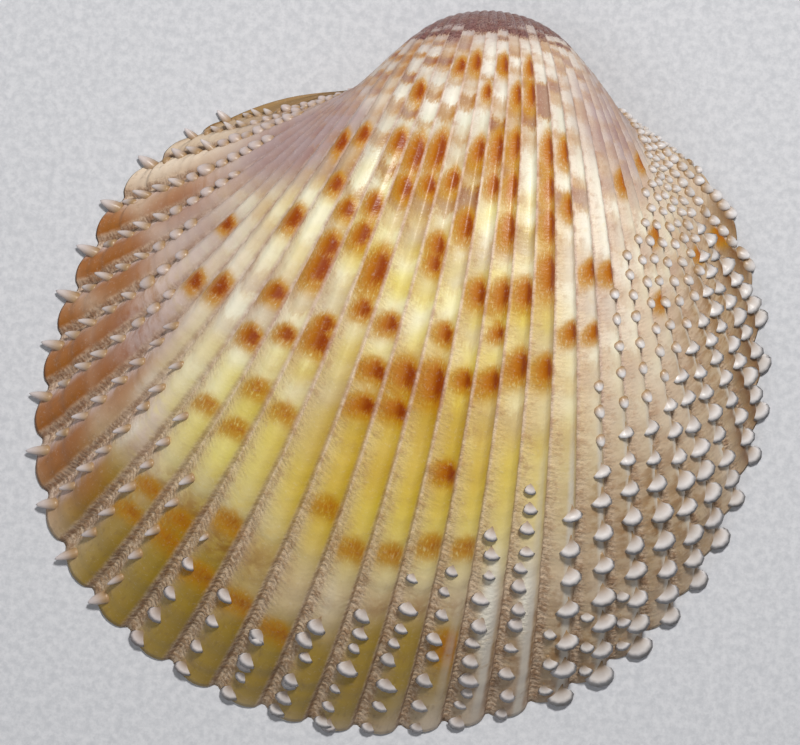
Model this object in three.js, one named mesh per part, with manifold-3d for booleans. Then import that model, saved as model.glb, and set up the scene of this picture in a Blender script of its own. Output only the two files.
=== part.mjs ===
// Right valve of a prickly cockle, lying on its rim with the outside up.
//
// A cockle valve grows by adding to its rim while it turns about the hinge, so the whole
// shell is one rim outline that shrinks evenly towards the beak as it rolls over the
// hinge axis. Ribs are scallops of that outline, and scales stand on their edges.
//
// Axes: +X along the hinge towards the front (anterior) end, +Y towards the umbo,
// +Z out of the rim plane. The rim lies on z = 0. Millimetres and degrees.

import * as THREE from 'three';
import { mergeVertices } from 'three/addons/utils/BufferGeometryUtils.js';
import Module from 'manifold-3d';

// Rim outline, measured from the beak: a centre, and the radius every 15 degrees
// anticlockwise from +X.
const RIM_CENTRE = new THREE.Vector2(-4.0, -27.0);
const RIM_RADII = [
  28.9, 29.3, 30.1, 30.2, 28.1, 26.2, 24.7, 25.1, 26.1, 26.9, 27.8, 27.8,
  28.5, 29.8, 30.4, 29.9, 28.9, 28.1, 27.7, 27.4, 27.7, 28.0, 28.3, 28.2,
];

// Growth, per radian of turn: how fast the outline shrinks, how much faster it did so
// when young, and how much wider the young outline was. Then how far the growth axis
// leans out of the rim plane, and how far the outer and inner skins turn.
const GROWTH_RATE = 0.8525;
const GROWTH_CHANGE = 0.022;
const YOUNG_WIDENING = 0.05;
const AXIS_LEAN = -5.9;
const OUTER_TURN = 165;
const INNER_TURN = 108;

// Nothing but the rim itself comes closer to the rim plane than this.
const REST_GAP = 0.05;

// Ribs: how many, the direction of every fourth groove as seen from the rim's centre,
// the relief of a rib at the rim, and how many ribs at each end fade into the hinge side.
const RIB_COUNT = 36;
const RIBS_PER_STATION = 4;
const GROOVE_STATIONS = [51.0, 21.5, -8.0, -37.7, -68.0, -98.6, -132.0, -165.3, -199.0, -231.0];
const RIB_RELIEF = 1.05;
const RIB_SHOULDERS = [0.24, 0.8];
const FADING_RIBS = 2.5;

// Wall thickness at the rim, its growth per radian of turn, and the most that a shallow
// slope may widen it. Then the hinge plate: its width below the beak, the direction of its
// middle, how far it reaches to each side, and the turn over which it thins out.
const WALL = 1.45;
const WALL_THICKENING = 0.25;
const MAX_SLOPE_FACTOR = 1.9;
const PLATE_WIDTH = 4.4;
const PLATE_ANGLE = 88;
const PLATE_SPREAD = 24;
const PLATE_FADE = 60;

// Scales: one follows another along a rib after this much turn, counted back from the rim,
// and this solid carries every second one. They shrink with the rib they stand on.
const SCALE_TURN = 3.2;
const SCALE_STRIDE = 2;
const SCALE_FIRST_TURN = 1.2;
const SCALE_RADIUS = 0.78;
const SCALE_REACH = 1.25;
const SCALE_SINK = 0.45;
const SCALE_SIDES = 3;
const SCALE_SHRINKING = 0.43;

// The front ribs carry them near the crest, the others on the back edge. The lean is
// towards the back end and towards the rim, as parts of the height.
const LAST_FRONT_RIB = 13;
const FRONT_SCALE = { place: 0.3, sideways: -0.35, forward: 0.35 };
const BACK_SCALE = { place: 0.84, sideways: 0.5, forward: 0.65 };
const SCALE_LIFT = 0.9;

// Scales in a row: few on the smooth ribs round the middle one, more towards both flanks.
const SMOOTH_RIB = 17.5;
const SMOOTH_REACH = 2.5;
const FLANK_REACH = 9;
const RIM_SCALES = 2;
const FLANK_SCALES = 5;

// Hinge: sockets sunk into the plate beside each tooth, by place along the hinge and
// distance below the beak.
const SOCKET_DEPTH = 1.1;
const SOCKETS = [
  { x: -1.9, y: -4.5, length: 1.9, width: 1.2, turn: -50 },
  { x: 1.6, y: -4.6, length: 2.0, width: 1.3, turn: 52 },
  { x: -14.6, y: -5.3, length: 4.6, width: 1.0, turn: 3 },
  { x: 12.4, y: -5.0, length: 3.6, width: 1.1, turn: -24 },
];

// Grid rows, in degrees of turn back from the rim, and columns of the hinge side.
const OUTER_ROWS = [0, 7, 15, 24, 33, 43, 54, 66, 79, 93, 108, 124, 141, OUTER_TURN];
const INNER_ROWS = [0, 5, 13, 24, 37, 52, 69, 88, INNER_TURN];
const HINGE_COLUMNS = 10;

const SHELL_COLOUR = 0xd9c9a0;
const SHELL_ROUGHNESS = 0.45;

const radians = THREE.MathUtils.degToRad;

// Value of an evenly spaced list at a fractional place, through its points.
function throughPoints(list, place, closed) {
  const last = list.length - 1;
  const base = closed ? Math.floor(place) : Math.min(Math.floor(place), last - 1);
  const part = place - base;
  const at = (i) => (closed ? list[(i + list.length) % list.length] : list[Math.min(Math.max(i, 0), last)]);
  const [a, b, c, d] = [at(base - 1), at(base), at(base + 1), at(base + 2)];
  const linear = (c - a) * part;
  const square = (2 * a - 5 * b + 4 * c - d) * part ** 2;
  const cube = (3 * b - a - 3 * c + d) * part ** 3;
  return 0.5 * (2 * b + linear + square + cube);
}

function rimPoint(angle) {
  const step = 360 / RIM_RADII.length;
  const turned = ((angle % 360) + 360) % 360;
  const radius = throughPoints(RIM_RADII, turned / step, true);
  const direction = new THREE.Vector2(Math.cos(radians(angle)), Math.sin(radians(angle)));
  return direction.multiplyScalar(radius).add(RIM_CENTRE);
}

// Outward direction in the rim plane, square to the outline.
function rimNormal(angle) {
  const along = rimPoint(angle + 1).sub(rimPoint(angle - 1)).normalize();
  return new THREE.Vector2(along.y, -along.x);
}

// Direction of a place counted in ribs from the front end.
function ribAngle(ribs) {
  return throughPoints(GROOVE_STATIONS, ribs / RIBS_PER_STATION, false);
}

// The rim outline as it was with that much turning still to do, before it is rolled
// over the hinge. The lift stands out of it, as a rib does.
function outlineAt(angle, turn, lift) {
  const phi = radians(turn);
  const size = Math.exp(-GROWTH_RATE * phi - GROWTH_CHANGE * phi ** 2);
  const wide = Math.exp(YOUNG_WIDENING * phi ** 2);
  const point = rimPoint(angle).addScaledVector(rimNormal(angle), lift);
  return new THREE.Vector2(point.x * size * wide, point.y * size);
}

// Rolls a point of the rim plane back over the leaning hinge axis.
function roll(point, turn) {
  const phi = radians(turn);
  const lean = radians(AXIS_LEAN);
  const along = point.x * Math.cos(lean);
  const across = -point.x * Math.sin(lean);
  const down = -point.y * Math.cos(phi) - across * Math.sin(phi);
  const up = -point.y * Math.sin(phi) + across * Math.cos(phi);
  const x = along * Math.cos(lean) - up * Math.sin(lean);
  const z = along * Math.sin(lean) + up * Math.cos(lean);
  return new THREE.Vector3(x, -down, turn > 0 ? Math.max(z, REST_GAP) : 0);
}

// Ratio of in-plane offset to true thickness where the skin slopes up from the rim.
function slopeFactor(angle) {
  const point = rimPoint(angle);
  const rise = Math.max(-point.y, 1);
  const run = GROWTH_RATE * point.dot(rimNormal(angle));
  return Math.min(Math.hypot(rise, run) / rise, MAX_SLOPE_FACTOR);
}

function wallWidth(angle, turn) {
  const fromPlate = Math.abs(((angle - PLATE_ANGLE + 540) % 360) - 180) / PLATE_SPREAD;
  const plate = PLATE_WIDTH * Math.exp(-(fromPlate ** 2)) * Math.exp(-turn / PLATE_FADE);
  return WALL * slopeFactor(angle) * (1 + WALL_THICKENING * radians(turn)) + plate;
}

function outerPoint(column, turn) {
  return roll(outlineAt(column.angle, turn, column.lift * RIB_RELIEF), turn);
}

function innerPoint(angle, turn) {
  const point = outlineAt(angle, turn, 0);
  return roll(point.addScaledVector(rimNormal(angle), -wallWidth(angle, turn)), turn);
}

// Share of the full relief that a rib has: the ones at both ends fade.
function ribStrength(rib) {
  const fromEnd = Math.min(rib, RIB_COUNT - 1 - rib) + 0.5;
  return Math.min(fromEnd / FADING_RIBS, 1);
}

// Columns run from the front end of the ribbed part, round the belly to its back end,
// then home along the hinge. Each carries the number of its inner partner.
function makeColumns() {
  const columns = [];
  for (let rib = 0; rib < RIB_COUNT; rib += 1) {
    columns.push({ angle: ribAngle(rib), lift: 0, inner: rib });
    for (const place of RIB_SHOULDERS) {
      const inner = place < 0.5 ? rib : rib + 1;
      columns.push({ angle: ribAngle(rib + place), lift: ribStrength(rib), inner });
    }
  }
  const start = ribAngle(RIB_COUNT);
  const span = ribAngle(0) - 360 - start;
  for (let i = 0; i < HINGE_COLUMNS; i += 1) {
    columns.push({ angle: start + (span * i) / HINGE_COLUMNS, lift: 0, inner: RIB_COUNT + i });
  }
  return columns;
}

function makeValveShell() {
  const columns = makeColumns();
  const innerAngles = columns.filter((c) => c.lift === 0).map((c) => c.angle);
  const vertices = [];
  const faces = [];
  const add = (v) => vertices.push(v) - 1;
  const outer = OUTER_ROWS.map((turn) => columns.map((c) => add(outerPoint(c, turn))));
  const inner = INNER_ROWS.map((turn) => innerAngles.map((a) => add(innerPoint(a, turn))));
  const centreOf = (ids) => {
    const sum = ids.reduce((s, id) => s.add(vertices[id]), new THREE.Vector3());
    return add(sum.divideScalar(ids.length));
  };
  const band = (low, high, out) => {
    low.forEach((a, i) => {
      const j = (i + 1) % low.length;
      const quad = out ? [a, high[i], high[j], low[j]] : [a, low[j], high[j], high[i]];
      faces.push([quad[0], quad[1], quad[2]], [quad[0], quad[2], quad[3]]);
    });
  };
  const cap = (ring, out) => {
    const centre = centreOf(ring);
    ring.forEach((a, i) => {
      const b = ring[(i + 1) % ring.length];
      faces.push(out ? [a, centre, b] : [b, centre, a]);
    });
  };
  for (let r = 1; r < outer.length; r += 1) band(outer[r - 1], outer[r], true);
  for (let r = 1; r < inner.length; r += 1) band(inner[r - 1], inner[r], false);
  cap(outer[outer.length - 1], true);
  cap(inner[inner.length - 1], false);
  const [rim, lip] = [outer[0], inner[0]];
  rim.forEach((a, i) => {
    const j = (i + 1) % rim.length;
    const near = lip[columns[i].inner % lip.length];
    const far = lip[columns[j].inner % lip.length];
    faces.push([a, rim[j], near]);
    if (near !== far) faces.push([near, rim[j], far]);
  });
  return { vertices, faces };
}

// Frame of a place on a rib: the skin point, the direction of growth, the one towards
// the back end and the outward one.
function ribFrame(rib, place, turn) {
  const lift = SCALE_LIFT * ribStrength(rib);
  const column = { angle: ribAngle(rib + place), lift };
  const beside = { angle: ribAngle(rib + place + 0.05), lift };
  const point = outerPoint(column, turn);
  const growth = outerPoint(column, turn - 0.5).sub(point).normalize();
  const side = outerPoint(beside, turn).sub(point).normalize();
  const out = new THREE.Vector3().crossVectors(side, growth).normalize();
  if (out.dot(new THREE.Vector3(RIM_CENTRE.x, RIM_CENTRE.y, 0).sub(point)) > 0) out.negate();
  return { point, growth, side, out };
}

function scaleRows(rib) {
  const distance = Math.abs(rib - SMOOTH_RIB);
  const flank = THREE.MathUtils.smoothstep(distance, SMOOTH_REACH, FLANK_REACH);
  return Math.round(RIM_SCALES + FLANK_SCALES * flank);
}

function makeScale(rib, row) {
  const kind = rib <= LAST_FRONT_RIB ? FRONT_SCALE : BACK_SCALE;
  const turn = SCALE_FIRST_TURN + row * SCALE_STRIDE * SCALE_TURN;
  const size = Math.exp(-SCALE_SHRINKING * radians(turn));
  const frame = ribFrame(rib, kind.place, turn);
  const axis = frame.out.clone();
  axis.addScaledVector(frame.growth, kind.forward);
  axis.addScaledVector(frame.side, kind.sideways);
  axis.normalize();
  const height = (SCALE_REACH + SCALE_SINK) * size;
  const cone = new THREE.ConeGeometry(SCALE_RADIUS * size, height, SCALE_SIDES, 1);
  cone.translate(0, height / 2 - SCALE_SINK * size, 0);
  const turnTo = new THREE.Quaternion().setFromUnitVectors(new THREE.Vector3(0, 1, 0), axis);
  cone.applyQuaternion(turnTo);
  cone.translate(frame.point.x, frame.point.y, frame.point.z);
  return cone;
}

// Scales lie above the rim plane, so none lifts the valve off what it rests on.
function aboveRim(geometry) {
  const position = geometry.attributes.position;
  for (let i = 0; i < position.count; i += 1) {
    position.setZ(i, Math.max(position.getZ(i), REST_GAP));
  }
  return geometry;
}

const wasm = await Module();
wasm.setup();

function toSolid(geometry) {
  geometry.deleteAttribute('normal');
  geometry.deleteAttribute('uv');
  const merged = mergeVertices(geometry, 1e-5);
  const mesh = new wasm.Mesh({
    numProp: 3,
    vertProperties: new Float32Array(merged.attributes.position.array),
    triVerts: new Uint32Array(merged.index.array),
  });
  return new wasm.Manifold(mesh);
}

function toGeometry(solid) {
  const mesh = solid.getMesh();
  const geometry = new THREE.BufferGeometry();
  geometry.setAttribute('position', new THREE.BufferAttribute(mesh.vertProperties, 3));
  geometry.setIndex(new THREE.BufferAttribute(mesh.triVerts, 1));
  return geometry;
}

function shellGeometry() {
  const { vertices, faces } = makeValveShell();
  const geometry = new THREE.BufferGeometry().setFromPoints(vertices);
  geometry.setIndex(faces.flat());
  return geometry;
}

function socketGeometry({ x, y, length, width, turn }) {
  const box = new THREE.BoxGeometry(length, width, 2 * SOCKET_DEPTH);
  box.rotateZ(radians(turn));
  box.translate(x, y, 0);
  return box;
}

function makeValve() {
  let solid = toSolid(shellGeometry());
  for (let rib = 0; rib < RIB_COUNT; rib += 1) {
    for (let row = 0; row < scaleRows(rib); row += 1) {
      solid = solid.add(toSolid(aboveRim(makeScale(rib, row))));
    }
  }
  for (const socket of SOCKETS) solid = solid.subtract(toSolid(socketGeometry(socket)));
  const geometry = toGeometry(solid);
  geometry.computeBoundingBox();
  const { min, max } = geometry.boundingBox;
  geometry.translate(-(min.x + max.x) / 2, -(min.y + max.y) / 2, -min.z);
  geometry.computeVertexNormals();
  return geometry;
}

const finish = new THREE.MeshStandardMaterial({
  color: SHELL_COLOUR,
  roughness: SHELL_ROUGHNESS,
  metalness: 0,
  flatShading: true,
});
const valve = new THREE.Mesh(makeValve(), finish);
valve.name = 'valve';

const group = new THREE.Group();
group.add(valve);

export default group;
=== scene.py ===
# %% [markdown]
# # A prickly cockle valve on paper
#
# The piece is one half of a cockle, the right valve. It lies on its rim with the outside
# up. The solid part already fixes its box, its outline and its ribs. This lesson builds
# the fine skin, the rows of scales and the colours, all in the same place. Loading the
# frame comes first, so that every later number is measured against the solid part.

import math

import bpy
import numpy as np
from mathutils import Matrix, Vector


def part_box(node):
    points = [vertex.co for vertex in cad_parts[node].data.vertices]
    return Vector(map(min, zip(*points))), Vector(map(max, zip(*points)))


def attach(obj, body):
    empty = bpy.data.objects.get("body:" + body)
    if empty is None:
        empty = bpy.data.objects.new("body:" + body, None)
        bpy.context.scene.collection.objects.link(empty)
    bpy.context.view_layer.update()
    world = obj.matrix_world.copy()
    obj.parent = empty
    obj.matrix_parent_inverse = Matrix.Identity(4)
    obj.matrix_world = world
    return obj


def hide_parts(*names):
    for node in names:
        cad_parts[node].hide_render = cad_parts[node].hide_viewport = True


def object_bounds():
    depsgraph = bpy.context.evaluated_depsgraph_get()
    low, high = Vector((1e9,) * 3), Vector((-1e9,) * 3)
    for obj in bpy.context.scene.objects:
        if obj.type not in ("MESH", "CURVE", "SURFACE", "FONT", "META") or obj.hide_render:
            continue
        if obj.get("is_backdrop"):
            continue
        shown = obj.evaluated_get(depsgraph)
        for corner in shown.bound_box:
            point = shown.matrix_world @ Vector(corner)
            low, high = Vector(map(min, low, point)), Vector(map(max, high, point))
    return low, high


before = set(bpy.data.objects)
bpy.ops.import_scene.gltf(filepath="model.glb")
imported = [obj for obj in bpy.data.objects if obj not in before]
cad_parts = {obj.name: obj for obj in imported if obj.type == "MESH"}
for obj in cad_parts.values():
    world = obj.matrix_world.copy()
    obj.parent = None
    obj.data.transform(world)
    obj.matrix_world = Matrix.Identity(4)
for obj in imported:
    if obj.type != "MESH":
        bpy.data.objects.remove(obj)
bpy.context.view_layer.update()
MM = 1000
low, high = (np.array(corner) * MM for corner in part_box("valve"))
print("solid box in mm", low.round(2), high.round(2))

# %% [markdown]
# ## How a valve grows
#
# A cockle adds shell only at its rim, while the rim turns about the hinge. So every
# growth line is the same outline, made smaller and turned back. It could be sculpted by
# hand, but a growth rule is exact: one outline, one shrinking rate and one angle give the
# dome, the beak and all the ribs at once. Lengths are millimetres, measured from the beak.

# %% The rim outline
RIM_CENTRE = (-4.0, -27.0)
RIM_RADII = [
    28.9, 29.3, 30.1, 30.2, 28.1, 26.2, 24.7, 25.1, 26.1, 26.9, 27.8, 27.8,
    28.5, 29.8, 30.4, 29.9, 28.9, 28.1, 27.7, 27.4, 27.7, 28.0, 28.3, 28.2,
]
RIM_SPACING = 360 / len(RIM_RADII)
BEAK = np.array([3.8725, 25.5804, 0.0])


def through_points(values, place, closed):
    """Value of an evenly spaced list at fractional places, on a smooth curve."""
    values = np.asarray(values, float)
    last = len(values) - 1
    base = np.floor(place).astype(int)
    if not closed:
        base = np.clip(base, 0, last - 1)
    part = place - base

    def at(index):
        return values[index % len(values)] if closed else values[np.clip(index, 0, last)]

    a, b, c, d = at(base - 1), at(base), at(base + 1), at(base + 2)
    square = 2 * a - 5 * b + 4 * c - d
    cube = 3 * b - a - 3 * c + d
    return 0.5 * (2 * b + (c - a) * part + square * part**2 + cube * part**3)


def rim_point(angle):
    radius = through_points(RIM_RADII, (angle % 360) / RIM_SPACING, True)
    x = RIM_CENTRE[0] + radius * np.cos(np.radians(angle))
    y = RIM_CENTRE[1] + radius * np.sin(np.radians(angle))
    return np.stack([x, y], -1)


def rim_normal(angle):
    along = rim_point(angle + 1) - rim_point(angle - 1)
    along /= np.linalg.norm(along, axis=-1, keepdims=True)
    return np.stack([along[..., 1], -along[..., 0]], -1)


print("rim reaches", rim_point(np.arange(0.0, 360.0, 5.0)).min(0).round(1), "mm")

# %% Shrink the outline and roll it over the hinge
GROWTH_RATE = 0.8525
GROWTH_CHANGE = 0.022
YOUNG_WIDENING = 0.05
AXIS_LEAN = math.radians(-5.9)
REST_GAP = 0.05


def outline_at(angle, turn, lift):
    """The outline as it was, turn degrees of growth ago, lifted outwards in its plane."""
    phi = np.radians(turn)
    size = np.exp(-GROWTH_RATE * phi - GROWTH_CHANGE * phi**2)
    point = rim_point(angle) + rim_normal(angle) * np.asarray(lift)[..., None]
    wide = np.exp(YOUNG_WIDENING * phi**2)
    return np.stack([point[..., 0] * size * wide, point[..., 1] * size], -1)


def roll(point, turn):
    """Turns points of the rim plane back over the leaning hinge axis."""
    phi = np.radians(turn)
    along = point[..., 0] * math.cos(AXIS_LEAN)
    across = -point[..., 0] * math.sin(AXIS_LEAN)
    down = -point[..., 1] * np.cos(phi) - across * np.sin(phi)
    up = -point[..., 1] * np.sin(phi) + across * np.cos(phi)
    x = along * math.cos(AXIS_LEAN) - up * math.sin(AXIS_LEAN)
    z = along * math.sin(AXIS_LEAN) + up * math.cos(AXIS_LEAN)
    z = np.where(np.asarray(turn) > 0, np.maximum(z, REST_GAP), 0.0)
    return np.stack([x, -down, z], -1) + BEAK


belly, crown_turn = np.array([-90.0]), np.array([62.0])
crown = roll(outline_at(belly, crown_turn, np.zeros(1)), crown_turn)
print("a point near the crown", crown.round(1))

# %% [markdown]
# ## Ribs
#
# Thirty-six ribs fan out from the beak. Near the beak each one is like a small roof with
# its ridge nearer the front, and at the rim it turns into a broad flat tooth with a sunken
# space beside it. Modelling each rib apart would leave seams, so a rib is a lift of the
# outline: one curve across the rib, blended from roof to tooth by the age of the shell.

# %% Where the ribs run and how high they stand
RIBS = 36
GROOVES = [51.0, 21.5, -8.0, -37.7, -68.0, -98.6, -132.0, -165.3, -199.0, -231.0]
GROOVE_EVERY = 4
RELIEF = 1.05
RIDGE = 0.40
RIM_ARCH = 0.5
TOOTH_UNTIL, ROOF_FROM = 5.0, 36.0


def soft_step(value, start, end):
    part = np.clip((value - start) / (end - start), 0, 1)
    return part * part * (3 - 2 * part)


def rib_angle(ribs):
    return through_points(GROOVES, ribs / GROOVE_EVERY, False)


def rib_form(place, turn):
    """Height across a rib, 0 in the groove and 1 on the ridge; place runs front to back."""
    side = np.where(place < RIDGE, place / RIDGE, (1 - place) / (1 - RIDGE))
    roof = 1.3 * np.clip(side, 0, 1) ** 0.7 - 0.3
    tooth = np.sin(np.pi * np.clip((place - 0.04) / 0.84, 0, 1)) ** 0.42
    tooth = tooth * (1 - 0.3 * soft_step(place, 0.35, 0.85))
    near_rim = 1 - soft_step(turn, TOOTH_UNTIL, ROOF_FROM)
    worn = 1 - 0.35 * (1 - soft_step(turn, 0, 3))
    return roof + (tooth * worn - roof) * near_rim


def rib_strength(ribs):
    """The ribs at both ends fade into the smooth sides of the hinge."""
    return np.clip((np.minimum(ribs, RIBS - ribs) + 0.2) / 2.5, 0, 1)


print("rib width at the belly", round(float(rib_angle(18.0) - rib_angle(19.0)), 1), "degrees")

# %% [markdown]
# ## Growth lines
#
# The shell did not grow evenly. Small pauses leave fine steps that run round it, and one
# long pause left a clear ledge a little way up from the rim, strongest at the back. These
# are shapes, not colours, so they are added to the lift in the same place as the ribs.


# %% Steps left by pauses in growth
def growth_steps(angle, turn):
    drift = 1.3 * np.sin(np.radians(angle) * 2 + 0.6) + 0.6 * np.sin(np.radians(angle) * 5)
    fine = 0.05 * np.sin(turn * 2.9 + drift) + 0.035 * np.sin(turn * 5.3 + 2 * drift)
    back = 0.45 + 0.55 * soft_step(-angle, 70, 150)
    ledge = -0.3 * back * (1 - soft_step(turn, 4.1 + 0.4 * drift, 4.9 + 0.4 * drift))
    pause = -0.16 * np.exp(-(((turn - 15.5 - 0.5 * drift) / 0.7) ** 2))
    settle = soft_step(turn, 0.0, 1.5)
    return (fine + pause) * settle + ledge * soft_step(turn, 0.0, 2.5)


print("step at the ledge", growth_steps(np.array([-140.0]), np.array([3.0])).round(2), "mm")

# %% [markdown]
# ## The outer and inner skin
#
# The wall of a real valve is about one and a half millimetres thick, and the inside is
# seen when the shell is turned over. A single surface would look like paper there. So the
# mesh has an outer skin, an inner skin and the rim that joins them, all from the same
# growth rule. Rows lie closer together near the rim, where the detail is.

# %% Columns and rows of the skin
PLACES = np.array([0.0, 0.05, 0.1, 0.16, 0.23, 0.31, 0.4, 0.5, 0.61, 0.72, 0.83, 0.93])
OUTER_ROWS = 186
INNER_ROWS = 16
HINGE_COLUMNS = 36
OUTER_END, INNER_END = 165.0, 108.0
PAST_LAST_RIB, BEFORE_FIRST_RIB = RIBS + 0.2, -0.2

ribbed = (np.arange(RIBS)[:, None] + PLACES).ravel()
along_hinge = np.arange(HINGE_COLUMNS) / HINGE_COLUMNS
start, end = rib_angle(np.array([float(RIBS)]))[0], rib_angle(np.array([0.0]))[0] - 360
column_angle = np.concatenate([rib_angle(ribbed), start + (end - start) * along_hinge])
hinge_ribs = np.where(along_hinge < 0.5, PAST_LAST_RIB, BEFORE_FIRST_RIB)
column_ribs = np.concatenate([ribbed, hinge_ribs])
column_place = np.concatenate([ribbed % 1, np.zeros(HINGE_COLUMNS)])
column_strength = np.concatenate([rib_strength(ribbed), np.zeros(HINGE_COLUMNS)])
outer_turn = OUTER_END * (np.arange(OUTER_ROWS) / (OUTER_ROWS - 1)) ** 1.18
inner_turn = INNER_END * (np.arange(INNER_ROWS) / (INNER_ROWS - 1)) ** 1.2
print(len(column_angle), "columns,", OUTER_ROWS, "outer rows,", INNER_ROWS, "inner rows")


# %% Points of the outer skin
def outer_skin(angle, place, strength, turn):
    form = rib_form(place, turn)
    lift = RELIEF * strength * form + growth_steps(angle, turn)
    skin = roll(outline_at(angle, turn, lift), turn)
    skin[..., 2] += RIM_ARCH * strength * np.clip(form, 0, 1) * np.exp(-turn / 2.5)
    return skin


grid_turn = np.repeat(outer_turn[:, None], len(column_angle), 1)
grid_angle = np.repeat(column_angle[None, :], OUTER_ROWS, 0)
outer = outer_skin(grid_angle, column_place[None, :], column_strength[None, :], grid_turn)
print("outer skin", outer.shape, "top at", outer[..., 2].max().round(2), "mm")


# %% Points of the inner skin
WALL = 1.45
MOST_SLOPE = 1.9
PLATE_WIDTH, PLATE_ANGLE, PLATE_SPREAD = 4.4, 88, 24
NOTCH = 0.45


def wall_width(angle, turn, place, strength):
    """Width of the rim between the skins, wider on a slope and at the hinge plate."""
    point = rim_point(angle)
    rise = np.maximum(-point[..., 1], 1)
    run = GROWTH_RATE * (point * rim_normal(angle)).sum(-1)
    slope = np.minimum(np.hypot(rise, run) / rise, MOST_SLOPE)
    from_plate = np.abs((angle - PLATE_ANGLE + 540) % 360 - 180) / PLATE_SPREAD
    plate = PLATE_WIDTH * np.exp(-(from_plate**2)) * np.exp(-turn / 60)
    notch = NOTCH * strength * (0.5 + 0.5 * np.cos(2 * np.pi * place)) * np.exp(-turn / 5)
    return WALL * slope * (1 + 0.25 * np.radians(turn)) + plate - notch


inner_grid_turn = np.repeat(inner_turn[:, None], len(column_angle), 1)
inner_grid_angle = np.repeat(column_angle[None, :], INNER_ROWS, 0)
width = wall_width(inner_grid_angle, inner_grid_turn, column_place, column_strength)
shape = outline_at(inner_grid_angle, inner_grid_turn, np.zeros_like(width))
inner = roll(shape - rim_normal(inner_grid_angle) * width[..., None], inner_grid_turn)
print("inner skin", inner.shape)

# %% [markdown]
# ## Rim and hinge plate
#
# Between the two skins lies the rim, flat because the shell rests on it. Below the beak it
# widens into the hinge plate, where two small teeth in the middle and one long tooth on
# each side would lock into the other valve. Each tooth here is what stays standing beside a
# socket, so nothing reaches below the plane that the shell lies on.

# %% Rim rows with sockets beside the teeth
SOCKETS = [
    (-1.9, -4.5, 1.9, 1.2, -50.0),
    (1.6, -4.6, 2.0, 1.3, 52.0),
    (-14.6, -5.3, 4.6, 1.0, 3.0),
    (12.4, -5.0, 3.6, 1.1, -24.0),
]
SOCKET_DEPTH = 1.1
RIM_ROWS = 9


def socket_depth(points):
    depth = np.zeros(points.shape[:-1])
    for x, y, length, breadth, turned in SOCKETS:
        dx = points[..., 0] - BEAK[0] - x
        dy = points[..., 1] - BEAK[1] - y
        cos, sin = math.cos(math.radians(turned)), math.sin(math.radians(turned))
        u = np.abs(dx * cos + dy * sin) / (length / 2)
        v = np.abs(dy * cos - dx * sin) / (breadth / 2)
        inside = 1 - soft_step(np.hypot(u, v), 0.75, 1.25)
        depth = np.maximum(depth, SOCKET_DEPTH * inside)
    return depth


share = (np.arange(1, RIM_ROWS) / RIM_ROWS)[:, None, None]
rim = outer[0][None] * (1 - share) + inner[0][None] * share
rim[..., 2] = outer[0][:, 2] * (1 - share[..., 0]) ** 1.5 + socket_depth(rim)
print("deepest socket", rim[..., 2].max().round(2), "mm")

# %% Join everything into one mesh
columns = len(column_angle)
inner_cap = inner[-1].mean(0)
outer_cap = outer[-1].mean(0)
points = np.concatenate([
    outer.reshape(-1, 3), inner.reshape(-1, 3), rim.reshape(-1, 3), [outer_cap], [inner_cap],
])
points = np.clip(points, low, high)
outer_ids = np.arange(outer.size // 3).reshape(OUTER_ROWS, columns)
inner_ids = outer_ids.size + np.arange(inner.size // 3).reshape(INNER_ROWS, columns)
rim_ids = outer_ids.size + inner_ids.size + np.arange(rim.size // 3).reshape(-1, columns)
rim_ids = np.concatenate([outer_ids[:1], rim_ids, inner_ids[:1]])


def bands(ids, turned):
    """Four-sided faces between neighbouring rows of a closed ring of columns."""
    a, b = ids[:-1], ids[1:]
    faces = np.stack([a, b, np.roll(b, -1, 1), np.roll(a, -1, 1)], -1).reshape(-1, 4)
    return faces[:, ::-1] if turned else faces


def fan(ring, centre, turned):
    faces = np.stack([ring, np.full(columns, centre), np.roll(ring, -1)], -1)
    return faces[:, ::-1] if turned else faces


outer_cap_id, inner_cap_id = len(points) - 2, len(points) - 1
blocks = [bands(outer_ids, False), bands(rim_ids, True), bands(inner_ids, True)]
blocks += [fan(outer_ids[-1], outer_cap_id, False), fan(inner_ids[-1], inner_cap_id, True)]
faces = [face.tolist() for block in blocks for face in block]
mesh = bpy.data.meshes.new("valve_skin")
mesh.from_pydata((points / MM).tolist(), [], faces)
mesh.shade_smooth()
valve = bpy.data.objects.new("valve_skin", mesh)
bpy.context.scene.collection.objects.link(valve)
print("valve skin", len(points), "points,", len(faces), "faces")

# %% [markdown]
# ## Scales
#
# The ribs carry rows of small white scales, one for each short stretch of growth. On the
# front ribs they are round beads, which turn into wide hoods near the rim. On the back ribs
# they are pegs that lean towards the rim. The smooth ribs in the middle have only low hoods
# on their back edge, close to the rim. Particles could scatter them, but they must sit on
# the ribs, so each scale is placed by rib and by turn of growth.

# %% One scale as a stack of rings
RING_SIDES = 10
RING_STEPS = 6
rng = np.random.default_rng(7)


def scale_frame(ribs, turn):
    """Skin point, direction of growth, direction to the back end, and outward direction."""
    def skin(r, t):
        r, t = np.array([r]), np.array([t])
        return outer_skin(rib_angle(r), r % 1, rib_strength(r), t)[0]

    point = skin(ribs, turn)
    growth = skin(ribs, max(turn - 0.4, 0.05)) - skin(ribs, turn + 0.6)
    back = skin(np.floor(ribs) + 0.7, turn) - skin(np.floor(ribs) + 0.3, turn)
    growth /= np.linalg.norm(growth)
    back -= growth * back.dot(growth)
    back /= np.linalg.norm(back)
    out = np.cross(back, growth)
    centre = BEAK + [*RIM_CENTRE, 0.0]
    out *= np.sign(out.dot(point - centre))
    return point, growth, back, out


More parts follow.
